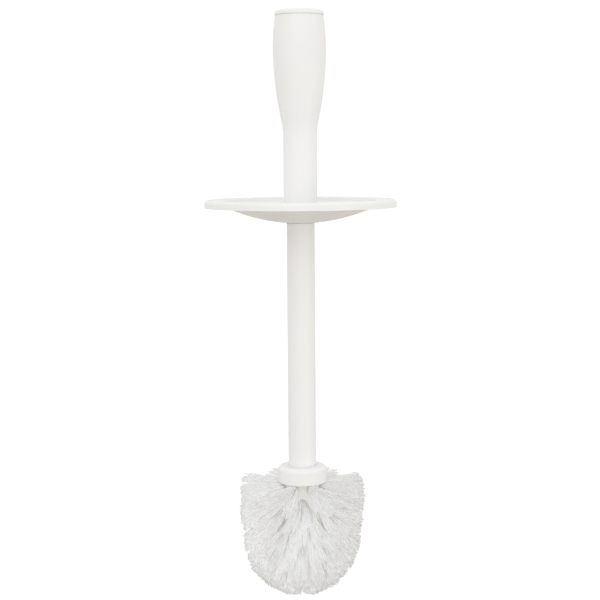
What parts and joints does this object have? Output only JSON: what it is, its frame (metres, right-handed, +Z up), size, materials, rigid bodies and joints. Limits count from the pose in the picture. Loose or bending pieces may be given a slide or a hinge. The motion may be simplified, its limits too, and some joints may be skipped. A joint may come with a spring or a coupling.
{
  "type": "toilet brush",
  "caption": "Upright toilet brush with a waisted hollow handle, a dished lid disc that turns on the shaft, and a screw-on round head of crimped bristle tufts",
  "frame": {"origin": "on the brush's axis, level with the tips of the lowest bristles", "axes": "+Z up along the handle, -Y to the front, +X to the viewer's right"},
  "size_m": [0.1204, 0.1204, 0.37],
  "materials": {
    "white_plastic": "satin",
    "bristle": "satin",
    "steel": "satin",
    "seal_rubber": "matte"
  },
  "bodies": {
    "lid": {"lid_disc": "white_plastic"},
    "stick": {"end_cap": "white_plastic", "handle_grip": "white_plastic", "handle_screw": "steel", "screw_washer": "steel", "upper_plug": "white_plastic", "shaft_tube": "white_plastic", "lower_plug": "white_plastic"},
    "seal": {"seal_ring": "seal_rubber"},
    "brush_head": {"head_core": "white_plastic", "tuft_row_1": "bristle", "tuft_row_2": "bristle", "tuft_row_3": "bristle", "tuft_row_4": "bristle", "tuft_row_5": "bristle", "tuft_row_6": "bristle", "tuft_anchors": "steel"}
  },
  "joints": [
    {"name": "lid_turn", "type": "hinge", "parent": "lid", "child": "stick", "pos_m": [0, 0, 0.2403], "axis": [0, 0, 1], "continuous": true},
    {"name": "head_travel", "type": "slide", "parent": "stick", "child": "seal", "axis": [0, 0, -1], "range_m": [0, 0.021]},
    {"name": "head_unscrew", "type": "hinge", "parent": "seal", "child": "brush_head", "pos_m": [0, 0, 0.0775], "axis": [0, 0, -1], "range_deg": [0, 1080]}
  ],
  "couplings": [
    {"joint": "head_travel", "follows": "head_unscrew", "m_per_rad": 0.0011141}
  ]
}
